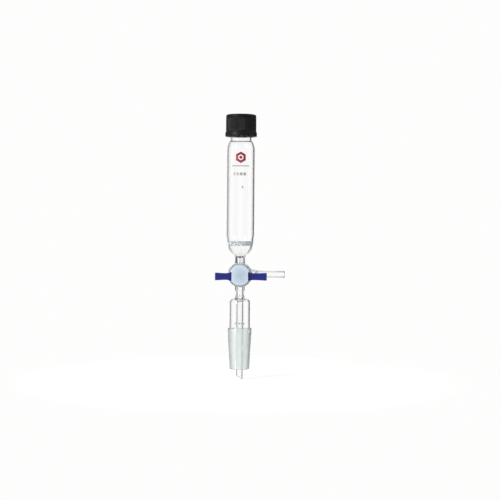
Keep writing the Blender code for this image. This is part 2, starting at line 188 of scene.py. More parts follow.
def make_object(name, bm, place=UPRIGHT, crease=40.0):
    """An object from a bmesh, laid in place, with outward faces and smooth round sides."""
    bmesh.ops.recalc_face_normals(bm, faces=bm.faces)
    mesh = bpy.data.meshes.new(name)
    bm.to_mesh(mesh)
    bm.free()
    mesh.transform(place)
    mesh.shade_smooth()
    mesh.set_sharp_from_angle(angle=radians(crease))
    obj = bpy.data.objects.new(name, mesh)
    bpy.context.scene.collection.objects.link(obj)
    return obj


def turned(name, outline, place=UPRIGHT, segments=128, shape=None, crease=40.0):
    """A solid turned from a closed outline of (radius, height) points.

    `shape(radius, height, angle)` may return another radius, for ribs and knurls.
    """
    bm = bmesh.new()
    rings = []
    for r, z in outline:
        if r < 1e-6:
            rings.append([bm.verts.new((0.0, 0.0, z * MM))] * segments)
            continue
        ring = []
        for i in range(segments):
            angle = 2 * pi * i / segments
            radius = shape(r, z, angle) if shape else r
            ring.append(bm.verts.new((radius * cos(angle) * MM, radius * sin(angle) * MM, z * MM)))
        rings.append(ring)
    for low, high in zip(rings, rings[1:] + rings[:1]):
        if low[0] is low[1] and high[0] is high[1]:
            continue
        for i in range(segments):
            j = (i + 1) % segments
            corners = [low[i], low[j], high[j], high[i]]
            bm.faces.new(sorted(set(corners), key=corners.index))
    return make_object(name, bm, place, crease)


def prism(name, outline, low, high, place=UPRIGHT, crease=40.0):
    """A closed (x, y) outline pushed from one height to another."""
    bm = bmesh.new()
    face = bm.faces.new([bm.verts.new((x * MM, y * MM, low * MM)) for x, y in outline])
    pushed = bmesh.ops.extrude_face_region(bm, geom=[face])
    verts = [item for item in pushed["geom"] if isinstance(item, bmesh.types.BMVert)]
    bmesh.ops.translate(bm, verts=verts, vec=(0, 0, (high - low) * MM))
    return make_object(name, bm, place, crease)


def helix(name, wall_r, crest_r, pitch, widths, start, turns, place=UPRIGHT, steps=96):
    """A right-handed rounded thread ridge with its foot buried in the wall."""
    side = 1 if crest_r > wall_r else -1
    count = round(turns * steps)
    arch = 8
    bm = bmesh.new()
    last = None
    for i in range(count + 1):
        angle = 2 * pi * i / steps
        runout = min(1.0, 3 * i / steps, 3 * (count - i) / steps)
        rise = (crest_r - wall_r) * runout ** 0.5
        middle = start + pitch * i / steps
        section = [(wall_r - 0.5 * side, middle - widths[0] / 2)]
        for k in range(arch + 1):
            t = -1 + 2 * k / arch
            half = widths[1] / 2 + (widths[0] - widths[1]) / 2 * abs(t) ** 3
            section.append((wall_r - 0.1 * side + (rise + 0.1 * side) * (1 - t ** 4),
                            middle + t * half))
        section.append((wall_r - 0.5 * side, middle + widths[0] / 2))
        verts = [bm.verts.new((r * cos(angle) * MM, r * sin(angle) * MM, z * MM))
                 for r, z in section]
        if last is None:
            bm.faces.new(verts)
        else:
            for j in range(len(verts)):
                k = (j + 1) % len(verts)
                bm.faces.new((last[j], last[k], verts[k], verts[j]))
        last = verts
    bm.faces.new(last[::-1])
    return make_object(name, bm, place)


def combine(obj, tool, operation, crease=40.0):
    """Join or cut obj with a helper solid, keep the result as its mesh and drop the helper."""
    modifier = obj.modifiers.new("combine", "BOOLEAN")
    modifier.operation = operation
    modifier.solver = "MANIFOLD"
    modifier.object = tool
    graph = bpy.context.evaluated_depsgraph_get()
    result = bpy.data.meshes.new_from_object(obj.evaluated_get(graph))
    old = obj.data
    obj.modifiers.clear()
    obj.data = result
    result.materials.clear()
    bpy.data.meshes.remove(old)
    bpy.data.objects.remove(tool, do_unlink=True)
    result.shade_smooth()
    result.set_sharp_from_angle(angle=radians(crease))


def finish_piece(obj, body, nodes=(), materials=()):
    """Give a piece its materials, its body and the CAD nodes that it stands for."""
    for mat in materials:
        obj.data.materials.append(mat)
    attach(obj, body)
    if nodes:
        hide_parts(*nodes)
    return obj


# ================================================================================================
# Materials
# ================================================================================================

class Surface:
    """A Principled material with helpers for its procedural detail."""

    def __init__(self, name, color, roughness, **sockets):
        self.mat = bpy.data.materials.new(name)
        self.mat.use_nodes = True
        self.nodes = self.mat.node_tree.nodes
        self.links = self.mat.node_tree.links
        self.shader = self.nodes["Principled BSDF"]
        self.shader.inputs["Base Color"].default_value = (*color, 1.0)
        self.shader.inputs["Roughness"].default_value = roughness
        for socket, value in sockets.items():
            self.shader.inputs[socket.replace("_", " ")].default_value = value
        self.coords = self.nodes.new("ShaderNodeTexCoord").outputs["Object"]

    def stretch(self, scale):
        """Object coordinates scaled by three numbers, for grain that runs one way."""
        mapping = self.nodes.new("ShaderNodeMapping")
        mapping.inputs["Scale"].default_value = scale
        self.links.new(self.coords, mapping.inputs["Vector"])
        return mapping.outputs["Vector"]

    def noise(self, scale, detail=4.0, roughness=0.5, vector=None):
        tex = self.nodes.new("ShaderNodeTexNoise")
        tex.inputs["Scale"].default_value = scale
        tex.inputs["Detail"].default_value = detail
        tex.inputs["Roughness"].default_value = roughness
        self.links.new(vector or self.coords, tex.inputs["Vector"])
        return tex.outputs["Fac"]

    def cells(self, scale, randomness=1.0):
        tex = self.nodes.new("ShaderNodeTexVoronoi")
        tex.inputs["Scale"].default_value = scale
        tex.inputs["Randomness"].default_value = randomness
        self.links.new(self.coords, tex.inputs["Vector"])
        return tex.outputs["Distance"]

    def remap(self, value, low, high, from_low=0.0, from_high=1.0):
        node = self.nodes.new("ShaderNodeMapRange")
        node.inputs["From Min"].default_value = from_low
        node.inputs["From Max"].default_value = from_high
        node.inputs["To Min"].default_value = low
        node.inputs["To Max"].default_value = high
        self.links.new(value, node.inputs["Value"])
        return node.outputs["Result"]

    def vary_color(self, value, dark, light, low=0.3, high=0.7):
        ramp = self.nodes.new("ShaderNodeValToRGB")
        ramp.color_ramp.elements[0].position = low
        ramp.color_ramp.elements[1].position = high
        ramp.color_ramp.elements[0].color = (*dark, 1.0)
        ramp.color_ramp.elements[1].color = (*light, 1.0)
        self.links.new(value, ramp.inputs["Fac"])
        self.links.new(ramp.outputs["Color"], self.shader.inputs["Base Color"])

    def vary_roughness(self, value, low, high):
        self.links.new(self.remap(value, low, high), self.shader.inputs["Roughness"])

    def bump(self, value, distance, strength=1.0, under=None):
        """Relief of the given height in millimetres; `under` is an earlier bump."""
        node = self.nodes.new("ShaderNodeBump")
        node.inputs["Distance"].default_value = distance * MM
        node.inputs["Strength"].default_value = strength
        self.links.new(value, node.inputs["Height"])
        if under:
            self.links.new(under, node.inputs["Normal"])
        self.links.new(node.outputs["Normal"], self.shader.inputs["Normal"])
        return node.outputs["Normal"]


def clear_glass():
    """Hand-worked borosilicate tube, with faint long waves in its surface."""
    s = Surface("clear_borosilicate", (0.996, 1.0, 0.998), 0.0, Transmission_Weight=1.0,
                IOR=GLASS_IOR)
    waves = s.noise(1.0, 2.0, 0.4, s.stretch((120.0, 120.0, 40.0)))
    s.bump(waves, 0.006, 0.3)
    return s.mat


def ground_glass():
    """Fine matt grinding that scatters some light, with slight rings left by the tool."""
    s = Surface("ground_borosilicate", (0.915, 0.98, 0.975), 0.42, Transmission_Weight=0.85,
                IOR=GLASS_IOR)
    grain = s.noise(5200.0, 3.0, 0.7)
    rings = s.noise(1.0, 3.0, 0.6, s.stretch((60.0, 60.0, 1500.0)))
    s.vary_roughness(rings, 0.36, 0.5)
    s.bump(rings, 0.01, 0.35, under=s.bump(grain, 0.02, 0.5))
    return s.mat


def sintered_glass():
    """Fine fused glass grains: dull, pale bluish grey and a little uneven."""
    s = Surface("sintered_grains", (0.5, 0.56, 0.64), 0.85)
    grains = s.cells(4200.0)
    cloud = s.noise(900.0, 5.0, 0.65)
    s.vary_color(cloud, (0.73, 0.78, 0.84), (0.88, 0.92, 0.96), 0.32, 0.68)
    s.bump(grains, 0.035, 0.5)
    return s.mat


def ptfe(name, painted_shade_tone, rim):
    """Turned PTFE: waxy, with painted shade darkening the middle of the head's face, fine lathe
    rings and a few marks."""
    s = Surface(name, rim, 0.38, Subsurface_Weight=0.25, Subsurface_Scale=0.002,
                Specular_IOR_Level=0.35, IOR=1.38)
    s.shader.inputs["Subsurface Radius"].default_value = (1.0, 1.0, 1.0)
    centred = s.nodes.new("ShaderNodeMapping")
    centred.inputs["Location"].default_value = (0.0, -HEAD_FRONT * MM, -BARREL_Z * MM)
    s.links.new(s.coords, centred.inputs["Vector"])
    rings = s.nodes.new("ShaderNodeTexWave")
    rings.wave_type = "RINGS"
    rings.rings_direction = "Y"
    rings.inputs["Scale"].default_value = 900.0
    rings.inputs["Distortion"].default_value = 0.6
    rings.inputs["Detail"].default_value = 1.0
    s.links.new(centred.outputs["Vector"], rings.inputs["Vector"])
    # Painted shade: the colour darkens towards the middle of the head's front face, blended with
    # random marks.
    away = s.nodes.new("ShaderNodeVectorMath")
    away.operation = "LENGTH"
    s.links.new(centred.outputs["Vector"], away.inputs[0])
    marks = s.noise(650.0, 5.0, 0.7)
    marks_and_painted_shade = s.nodes.new("ShaderNodeMath")
    marks_and_painted_shade.operation = "MULTIPLY_ADD"
    s.links.new(marks, marks_and_painted_shade.inputs[0])
    marks_and_painted_shade.inputs[1].default_value = 0.5
    s.links.new(s.remap(away.outputs["Value"], 0.0, 0.75, 0.002, HEAD_R * MM), marks_and_painted_shade.inputs[2])
    s.vary_color(marks_and_painted_shade.outputs["Value"], painted_shade_tone, rim, 0.2, 0.95)
    s.vary_roughness(marks, 0.3, 0.46)
    s.bump(marks, 0.01, 0.4, under=s.bump(rings.outputs["Fac"], 0.008, 0.5))
    return s.mat


def moulded(name, color, roughness, gloss=0.5, texture=0.02, scale=1400.0, fleck=0.12):
    """Moulded plastic with a fine spark-eroded texture and slightly uneven gloss."""
    s = Surface(name, color, roughness, Specular_IOR_Level=gloss)
    fine = s.noise(scale, 5.0, 0.6)
    broad = s.noise(90.0, 3.0, 0.5)
    dark = tuple(c * (1 - fleck) for c in color)
    light = tuple(min(1.0, c * (1 + fleck)) for c in color)
    s.vary_color(broad, dark, light, 0.3, 0.7)
    s.vary_roughness(broad, roughness - 0.06, roughness + 0.08)
    s.bump(fine, texture, 0.5)
    return s.mat


def rubber(name, color):
    """Dull elastomer with a fine grain."""
    s = Surface(name, color, 0.62, Specular_IOR_Level=0.3)
    fine = s.noise(1800.0, 4.0, 0.6)
    s.vary_color(s.noise(260.0), tuple(0.85 * c for c in color), color)
    s.vary_roughness(fine, 0.55, 0.72)
    s.bump(fine, 0.02, 0.5)
    return s.mat


def enamel(name, color):
    """Fired ceramic ink, a little uneven at its edges and dull."""
    s = Surface(name, color, 0.45)
    speckle = s.noise(3000.0, 4.0, 0.7)
    s.vary_color(speckle, tuple(0.85 * c for c in color), color, 0.3, 0.5)
    s.bump(speckle, 0.01, 0.5)
    return s.mat


# ================================================================================================
# Glass
# ================================================================================================

SHOULDER = smooth([(NECK_R, 189.2), (NECK_R, 188.1), (10.68, 187.45), (10.95, 187.05),
                   (11.35, 186.72), (11.8, 186.25), (12.3, 185.45), (12.8, 184.4), (13.3, 182.9),
                   (13.7, 181.2), (13.95, 179.4), (BODY_R, 178.0), (BODY_R, 176.5)])
FOOT = smooth([(BODY_R, 96.5), (BODY_R, 94.5), (13.8, 91.8), (13.4, 89.5), (13.12, 87.0),
               (12.85, 84.5), (12.3, 82.3), (11.75, 80.0), (11.0, 78.0), (9.5, 76.0),
               (7.4, 74.1), (6.0, 72.9), (5.3, 71.6), (STEM_R, 70.2), (STEM_R, 69.0)])
BOWL_INSIDE = smooth([(BODY_R - BODY_WALL, 96.5), (BODY_R - BODY_WALL, 94.6), (12.4, 91.9),
                      (12.0, 89.5), (11.72, 87.0), (11.45, 84.7), (10.9, 82.6), (10.35, 80.5),
                      (9.65, 79.0), (8.3, 77.1), (6.7, 75.5), (5.1, 74.2), (4.0, 73.1),
                      (3.1, 72.1), (2.2, 71.3), (1.2, 70.7), (UPPER_BORE_R, 70.1),
                      (UPPER_BORE_R, 69.3)])
DOME = smooth([(4.6, SHANK_TOP + 0.4), (5.1, SHANK_TOP - 0.1), (7.4, SHANK_TOP - 0.3),
               (9.0, 28.9), (9.95, 27.9), (SHANK_R, 26.2), (SHANK_R, 24.0)])


def cone_radius(z):
    """Outer radius of the ground cone at a height."""
    return CONE_TOP_R + CONE_TAPER * z


def upper_solid():
    """Outside of the neck, reservoir, bowl and upper stem, down into the barrel."""
    outline = [(0, NECK_TOP)]
    outline += arc((NECK_R - 0.9, NECK_TOP - 0.9), 0.9, 90, 0) + SHOULDER + FOOT
    outline += smooth([(STEM_R, 67.6), (5.15, 66.6), (5.4, 65.2), (5.8, 63.9), (6.5, 62.8)], 4)
    outline += [(6.2, BARREL_Z + 3), (0, BARREL_Z + 3)]
    return turned("glass_body", outline)


def barrel_solid():
    """Outside of the stopcock barrel, with its heavy front lip and rear bead."""
    outline = [(0, BARREL_FRONT)] + arc((LIP_R - 1.0, BARREL_FRONT + 1.0), 1.0, -90, 0)
    outline += smooth([(LIP_R, -15.8), (11.3, -14.3), (10.3, -12.4), (9.75, -9.5), (8.9, 0.0),
                       (8.1, 11.5), (8.2, 13.4), (8.75, 15.0)])
    outline += arc((7.9, BARREL_REAR - 0.9), 0.9, 0, 90)
    outline += [(0, BARREL_REAR)]
    return turned("barrel_tool", outline, ALONG_BARREL)


def arm_solid():
    """Outside of the side arm, with a flared weld and a fire-polished end."""
    outline = [(0, 4.0), (6.6, 4.0)]
    outline += smooth([(6.4, 7.6), (5.5, 9.6), (4.9, 12.0), (4.15, 16.5), (ARM_R, 21.5),
                       (ARM_R - 0.03, 25.0), (ARM_R - 0.03, ARM_END - 2.4),
                       (ARM_R, ARM_END - 1.2)], 5)
    outline += arc((ARM_R - 0.55, ARM_END - 0.55), 0.55, 0, 90) + [(0, ARM_END)]
    return turned("arm_tool", outline, ALONG_ARM, 96)


def lower_solid():
    """Outside of the lower stem, ring seal, shank and ground cone."""
    foot_r = cone_radius(-CONE_LENGTH)
    outline = [(0, BARREL_Z - 3), (6.3, BARREL_Z - 3)]
    outline += smooth([(6.3, 46.2), (5.45, 44.6), (5.15, 42.0), (4.9, 39.0), (4.3, 36.9),
                       (4.02, 35.4), (4.05, 33.6), (4.35, 32.8), (4.75, 32.3), (4.85, 31.6),
                       (4.8, 31.0), (4.5, 30.6)], 5)
    outline += DOME
    outline += smooth([(SHANK_R, 1.6), (SHANK_R + 0.05, 0.9), (SHANK_R + 0.35, 0.45),
                       (11.3, 0.32), (11.8, 0.2), (cone_radius(-0.25), -0.25)], 4)
    outline += [(foot_r, -CONE_LENGTH + 0.2)]
    outline += arc((foot_r - 0.7, CONE_FOOT + 0.7), 0.7, 0, -90) + [(0, CONE_FOOT)]
    return turned("lower_tool", outline)


def cone_space():
    """The hollow inside the shank and cone, before the drip tube is put in."""
    low_r = cone_radius(-CONE_LENGTH) - CONE_WALL
    inner_r = SHANK_R - SHANK_WALL
    outline = [(0, 28.5), (5.0, 28.5)]
    outline += smooth([(5.6, 28.5), (7.4, 28.3), (8.6, 27.3), (inner_r, 25.8), (inner_r, 23.8)], 5)
    outline += smooth([(inner_r, 3.0), (inner_r + 0.2, 1.0), (9.9, -0.9), (10.25, -2.6),
                       (10.15, -4.5)], 4)
    outline += [(low_r, CONE_FOOT + 0.9), (low_r + 0.25, CONE_FOOT + 0.3),
                (low_r + 0.8, CONE_FOOT - 0.3), (0, CONE_FOOT - 0.3)]
    return turned("cone_space_tool", outline)


def drip_solid():
    """Outside of the drip tube, flared into the dome and cut off on a slant."""
    outline = [(0, 29.3), (4.6, 29.3)]
    outline += smooth([(4.6, 28.8), (4.1, 28.4), (3.7, 27.8), (DRIP_R, 26.8), (DRIP_R, 25.0)], 5)
    outline += [(DRIP_R, TIP_MID + 4), (DRIP_R, TIP_MID + 0.25), (DRIP_R - 0.25, TIP_MID),
                (0, TIP_MID)]
    drip = turned("drip_tool", outline, segments=96)
    slant_tip(drip)
    return drip


def slant_tip(obj):
    """Shear the lowest points into a slanting tip."""
    for vert in obj.data.vertices:
        if vert.co.z < (TIP_MID + 1) * MM:
            vert.co.z += TIP_SLOPE * vert.co.x


def build_glass():
    """One closed piece of fused glass with every bore open."""
    glass = upper_solid()
    for tool in (barrel_solid(), arm_solid(), lower_solid()):
        combine(glass, tool, "UNION")
    combine(glass, helix("thread_tool", NECK_R, THREAD_CREST_R, THREAD_PITCH,
                         (2.0, 1.2), THREAD_START, 3.4), "UNION")
    combine(glass, cone_space(), "DIFFERENCE")
    combine(glass, drip_solid(), "UNION")

    shoulder_inside = inset(SHOULDER, BODY_WALL)
    cavity = [(0, NECK_TOP + 1), (NECK_BORE_R + 1.5, NECK_TOP + 1), (NECK_BORE_R + 1.0, NECK_TOP)]
    cavity += arc((NECK_BORE_R + 1.0, NECK_TOP - 1.0), 1.0, 90, 180)
    cavity += shoulder_inside + BOWL_INSIDE + [(UPPER_BORE_R, BARREL_Z), (0, BARREL_Z)]
    combine(glass, turned("cavity_tool", cavity), "DIFFERENCE")

    front, rear = BARREL_FRONT - 1, BARREL_REAR + 1
    bore = [(0, front), (BORE_FRONT_R + 1.4, front), (BORE_FRONT_R + 0.5, BARREL_FRONT + 0.1),
            (BORE_FRONT_R, BARREL_FRONT + 0.9)]
    rear_r = BORE_FRONT_R - BORE_TAPER * (BARREL_REAR - BARREL_FRONT)
    bore += [(rear_r, BARREL_REAR - 0.5), (rear_r + 0.6, rear), (0, rear)]
    combine(glass, turned("bore_tool", bore, ALONG_BARREL), "DIFFERENCE")

    arm = [(0, 3.0), (PORT_R, 3.0)]
    arm += smooth([(PORT_R, 14.2), (1.35, 15.2), (2.1, 16.6), (ARM_BORE_R, 18.2)], 4)
    arm += [(ARM_BORE_R, ARM_END - 0.7), (ARM_BORE_R + 0.35, ARM_END - 0.1),
            (ARM_BORE_R + 0.9, ARM_END + 0.4), (0, ARM_END + 0.4)]
    combine(glass, turned("arm_bore_tool", arm, ALONG_ARM, 96), "DIFFERENCE")

    drip = [(0, BARREL_Z), (PORT_R, BARREL_Z)]
    drip += smooth([(PORT_R, 45.0), (1.5, 44.3), (2.35, 43.3), (DRIP_BORE_R, 42.0)], 4)
    drip += [(DRIP_BORE_R, TIP_MID - 4), (0, TIP_MID - 4)]
    combine(glass, turned("drip_bore_tool", drip, segments=96), "DIFFERENCE")
    return glass


def frost(glass):
    """Give the ground material, the mesh's second one, to the cone's outside and to the
    barrel's tapered bore and front face."""
    for poly in glass.data.polygons:
        x, y, z = (value / MM for value in poly.center)
        on_cone = 0.8 - CONE_LENGTH < z < -0.15 and hypot(x, y) > cone_radius(z) - 0.4
        across = hypot(x, z - BARREL_Z)
        bore_r = BORE_FRONT_R - BORE_TAPER * (y - BARREL_FRONT)
        in_bore = BARREL_FRONT < y < BARREL_REAR and abs(across - bore_r) < 0.15
        on_face = y < BARREL_FRONT + 0.9
        if on_cone or in_bore or on_face:
            poly.material_index = 1


def build_frit():
    """The sintered disc, fused into the wall all round."""
    low_r, high_r = 11.4, 12.0
    edge = 0.35
    outline = [(0, FRIT_LOW), (low_r - edge, FRIT_LOW), (low_r, FRIT_LOW + edge),
               (high_r, FRIT_HIGH - edge), (high_r - edge, FRIT_HIGH), (0, FRIT_HIGH)]
    return turned("sintered_disc", outline, segments=96)


# ================================================================================================
# Stopcock
# ================================================================================================

def build_plug(material):
    """Tapered PTFE plug with a T bore, slotted round head, flats and a thread on its tail."""
    front_r = BORE_FRONT_R - 0.06
    end_r = front_r - BORE_TAPER * (PLUG_END - BARREL_FRONT)
    inside_head = HEAD_BACK - 2
    outline = [(0, inside_head), (front_r, inside_head), (front_r, BARREL_FRONT),
               (end_r, PLUG_END - 0.4), (end_r - 0.4, PLUG_END), (TAIL_R, PLUG_END + 0.2),
               (TAIL_R, TAIL_END - 0.7), (TAIL_R - 0.7, TAIL_END), (0, TAIL_END)]
    plug = turned("ptfe_plug", outline, ALONG_BARREL)
    combine(plug, helix("tail_thread_tool", TAIL_R, TAIL_R + 0.6, TAIL_PITCH, (1.2, 0.7),
                        TAIL_THREAD_START, 5.5, ALONG_BARREL, steps=64), "UNION")
    for side in (-1, 1):
        flat = prism("flat_tool", [(side * TAIL_FLAT, -6), (side * 6, -6), (side * 6, 6),
                                   (side * TAIL_FLAT, 6)],
                     PLUG_END + 0.7, TAIL_END + 1, ALONG_BARREL)
        combine(plug, flat, "DIFFERENCE")
    combine(plug, build_head(), "UNION")
    # The T bore: up, towards the side arm, and away from it.
    for turn, axis in ((90, "X"), (90, "Y"), (-90, "Y")):
        place = ALONG_BARREL @ Matrix.Rotation(radians(turn), 4, axis)
        tool = turned("bore_tool", [(0, 0), (PLUG_BORE_R, 0), (PLUG_BORE_R, 11), (0, 11)],
                      place, 48)
        combine(plug, tool, "DIFFERENCE")
    return finish_piece(plug, "plug", ["stopcock_plug"], [material])


def build_head():
    """The plug's round head: a disc with a notch on each side and a slot for the bar."""
    notch_x = 8.1
    edge = acos(notch_x / HEAD_R)
    high = asin((4.9 - BAR_DROP) / HEAD_R)
    rim = [high + (pi - 2 * high) * i / 60 for i in range(61)]
    outline = [(notch_x, HEAD_R * sin(high))] + [(HEAD_R * cos(a), HEAD_R * sin(a)) for a in rim]
    outline.append((-notch_x, HEAD_R * sin(high)))
    rim = [-edge - (pi - 2 * edge) * i / 60 for i in range(61)]
    outline += [(HEAD_R * cos(a), HEAD_R * sin(a)) for a in rim[::-1]]
    head = prism("head_tool", [(x, -z) for x, z in outline], HEAD_FRONT, HEAD_BACK,
                 ALONG_BARREL)
    bevel = head.modifiers.new("soft edges", "BEVEL")
    bevel.width = 0.45 * MM
    bevel.segments = 3
    bevel.limit_method = "ANGLE"
    bevel.angle_limit = radians(50)
    graph = bpy.context.evaluated_depsgraph_get()
    rounded = bpy.data.meshes.new_from_object(head.evaluated_get(graph))
    head.modifiers.clear()
    head.data = rounded
    low, high = BAR_DROP - SLOT_HALF, BAR_DROP + SLOT_HALF
    slot = prism("slot_tool", [(-12, low), (12, low), (12, high), (-12, high)],
                 HANDLE_FRONT - 0.3, HANDLE_BACK + 0.3, ALONG_BARREL)
    combine(head, slot, "DIFFERENCE")
    return head


def bar_half_height(x):
    """Half height of the handle bar at a place along it: thin web, wide root, waist, wide end."""
    reach = HANDLE_RIGHT if x > 0 else -HANDLE_LEFT
    x = abs(x)
    web, root, waist, end = 3.5, 4.6, 3.25, 3.85
    if x < WING_ROOT:
        return web
    if x < WING_WAIST:
        t = (x - WING_ROOT) / (WING_WAIST - WING_ROOT)
        return root + (waist - root) * (1 - (1 - t) ** 2.2)
    t = (x - WING_WAIST) / (reach - WING_WAIST)
    return waist + (end - waist) * t ** 1.6


def build_handle(material):
    """Blue bar through the head: softly rounded wings with a low rib along the front."""
    corner = 1.1
    places = [HANDLE_LEFT + corner * (1 - cos(radians(a))) for a in range(0, 91, 15)]
    inner = WING_ROOT
    count = 22
    places += [HANDLE_LEFT + corner + (-inner - 0.6 - HANDLE_LEFT - corner) * i / count
               for i in range(1, count + 1)]
    places += [-inner - 0.25, -inner - 0.05, -inner + 0.05, -4.0, 0.0]
    mirrored = [-x for x in places[::-1]]
    right = [x for x in mirrored if 0 < x <= inner + 0.6]
    right += [inner + 0.6 + (HANDLE_RIGHT - corner - inner - 0.6) * i / count
              for i in range(1, count + 1)]
    right += [HANDLE_RIGHT - corner * (1 - cos(radians(a))) for a in range(75, -1, -15)]
    half_depth = (HANDLE_BACK - HANDLE_FRONT) / 2
    middle_y = (HANDLE_BACK + HANDLE_FRONT) / 2
    bm = bmesh.new()
    last = None
    for x in places + right:
        end = min(x - HANDLE_LEFT, HANDLE_RIGHT - x)
        pull = corner - (max(0.0, 2 * corner * end - end ** 2)) ** 0.5 if end < corner else 0.0
        root = abs(x) - inner
        if 0 < root < 0.5:
            pull = max(pull, 0.5 - (0.25 - (0.5 - root) ** 2) ** 0.5)
        ring = bar_section(bar_half_height(x) - pull, half_depth - pull, abs(x) > inner)
        verts = [bm.verts.new((x * MM, (middle_y + y) * MM, (BARREL_Z - BAR_DROP + z) * MM))
                 for y, z in ring]
        if last is None:
            bm.faces.new(verts)
        else:
            for i in range(len(verts)):
                j = (i + 1) % len(verts)
                bm.faces.new((last[i], last[j], verts[j], verts[i]))
        last = verts
    bm.faces.new(last[::-1])
    handle = make_object("blue_bar", bm, crease=50)
    return finish_piece(handle, "plug", ["stopcock_handle"], [material])


def bar_section(half_height, half_depth, is_wing):
    """Cross section of the bar: a rounded oblong, hollowed a little beside a central rib."""
    corner = 1.0
    ring = []
    for centre_y, centre_z, start in ((1, 1, 0), (-1, 1, 90), (-1, -1, 180), (1, -1, 270)):
        ring += arc((centre_y * (half_depth - corner), centre_z * (half_height - corner)),
                    corner, start, start + 90, 5)
        if start == 90:
            for i in range(1, 16):
                z = (half_height - corner) * (1 - 2 * i / 16)
                dip = 0.35 * (1 - (z / (half_height - corner)) ** 2) if is_wing else 0.0
                rib = 0.35 * max(0.0, 1 - (z / 0.8) ** 2) if is_wing else 0.0
                ring.append((-half_depth + dip - rib, z))
    return ring


def build_washer(material):
    """Thrust washer whose hole has two flats that key it to the plug's tail."""
    outline = [(0, WASHER_FRONT), (WASHER_R - 0.3, WASHER_FRONT), (WASHER_R, WASHER_FRONT + 0.3),
               (WASHER_R, WASHER_BACK - 0.3), (WASHER_R - 0.3, WASHER_BACK), (0, WASHER_BACK)]
    washer = turned("ptfe_washer", outline, ALONG_BARREL)
    flat, hole_r = TAIL_FLAT + 0.3, TAIL_R + 0.9
    corner = atan2((hole_r ** 2 - flat ** 2) ** 0.5, flat)
    rim = [(hole_r * cos(a), hole_r * sin(a)) for a in
           [corner + (pi - 2 * corner) * i / 20 for i in range(21)]]
    keyed = prism("hole_tool", rim + [(-x, -y) for x, y in rim], WASHER_FRONT - 1,
                  WASHER_BACK + 1, ALONG_BARREL)
    combine(washer, keyed, "DIFFERENCE")
    return finish_piece(washer, "washers", ["thrust_washer"], [material])


def build_oring(material):
    """Rubber ring that keeps the nut's pull on the plug springy."""
    cord_r = (ORING_BACK - ORING_FRONT) / 2
    centre = (ORING_R - cord_r, (ORING_FRONT + ORING_BACK) / 2)
    ring = turned("rubber_oring", arc(centre, cord_r, 0, 360 - 15, 23), ALONG_BARREL, 96)
    return finish_piece(ring, "washers", ["tension_oring"], [material])


def build_nut(material):
    """Round nut with grip flutes round its rim and a thread in its bore."""
    flutes, depth = 18, 0.55

    def fluted(r, y, angle):
        if r < NUT_R - 0.9:
            return r
        wave = 0.5 + 0.5 * cos(flutes * angle)
        return r - depth * (1 - wave ** 0.5) * (r - NUT_R + 0.9) / 0.9

    outline = [(NUT_BORE_R + 0.4, NUT_FRONT), (NUT_R - 1.2, NUT_FRONT)]
    outline += arc((NUT_R - 0.8, NUT_FRONT + 0.8), 0.8, -90, 0, 5)
    outline += arc((NUT_R - 0.8, NUT_BACK - 0.8), 0.8, 0, 90, 5)
    outline += [(NUT_R - 1.2, NUT_BACK), (6.6, NUT_BACK), (6.2, NUT_BACK - 0.5),
                (5.4, NUT_BACK - 0.5), (5.0, NUT_BACK), (NUT_BORE_R + 0.4, NUT_BACK),
                (NUT_BORE_R, NUT_BACK - 0.4), (NUT_BORE_R, NUT_FRONT + 0.4)]
    nut = turned("grip_nut", outline, ALONG_BARREL, flutes * 12, fluted)
    combine(nut, helix("nut_thread_tool", NUT_BORE_R, TAIL_R + 0.42, TAIL_PITCH, (1.0, 0.5),
                       TAIL_THREAD_START + 1.5 * TAIL_PITCH, 2.5, ALONG_BARREL, steps=64),
            "UNION")
    return finish_piece(nut, "nut", ["tension_nut"], [material])


# ================================================================================================
# Cap and septum
# ================================================================================================

def build_cap(material):
    """Ribbed black cap with a smooth crown, a groove under it and a flared smooth skirt."""
    ribs, depth = 72, 0.28
    rib_low, rib_high = CAP_BOTTOM + 5.6, CAP_TOP - 3.9

    def ribbed(r, z, angle):
        if r < CAP_R - 0.5 or not rib_low <= z <= rib_high:
            return r
        return r - depth * (0.5 - 0.5 * cos(ribs * angle)) ** 2

    corner = 1.7
    crown = CAP_TOP - 2.9
    outline = [(0, CAP_TOP - 0.35), (CAP_R - 3.6, CAP_TOP - 0.35), (CAP_R - 3.1, CAP_TOP - 0.1),
               (CAP_R - 2.7, CAP_TOP)]
    outline += arc((CAP_R - corner, CAP_TOP - corner), corner, 90, 0)
    outline += [(CAP_R, crown + 0.35), (CAP_R - 0.1, crown + 0.2), (CAP_R - 0.42, crown + 0.05),
                (CAP_R - 0.42, crown - 0.2), (CAP_R - 0.1, crown - 0.35), (CAP_R, crown - 0.5)]
    outline += [(CAP_R - 0.12, rib_high + 0.2), (CAP_R, rib_high)]
    rows = 8
    outline += [(CAP_R, rib_high + (rib_low - rib_high) * i / rows) for i in range(1, rows + 1)]
    outline += smooth([(CAP_R, rib_low - 0.3), (CAP_R + 0.1, CAP_BOTTOM + 4.9),
                       (CAP_SKIRT_R - 0.1, CAP_BOTTOM + 3.9), (CAP_SKIRT_R, CAP_BOTTOM + 3.3)], 4)
    outline += arc((CAP_SKIRT_R - 0.6, CAP_BOTTOM + 0.6), 0.6, 0, -90)
    outline += [(CAP_BORE_R + 0.8, CAP_BOTTOM), (CAP_BORE_R + 0.1, CAP_BOTTOM + 0.6),
                (CAP_BORE_R, CAP_BOTTOM + 1.4), (CAP_BORE_R, CAP_CEILING), (0, CAP_CEILING)]
    cap = turned("ribbed_cap", outline, segments=ribs * 8, shape=ribbed)
    combine(cap, helix("cap_thread_tool", CAP_BORE_R, 11.55, THREAD_PITCH, (1.4, 0.8),
                       THREAD_START + THREAD_PITCH / 2, 3.0), "UNION")
    return finish_piece(cap, "cap", ["screw_cap"], [material])


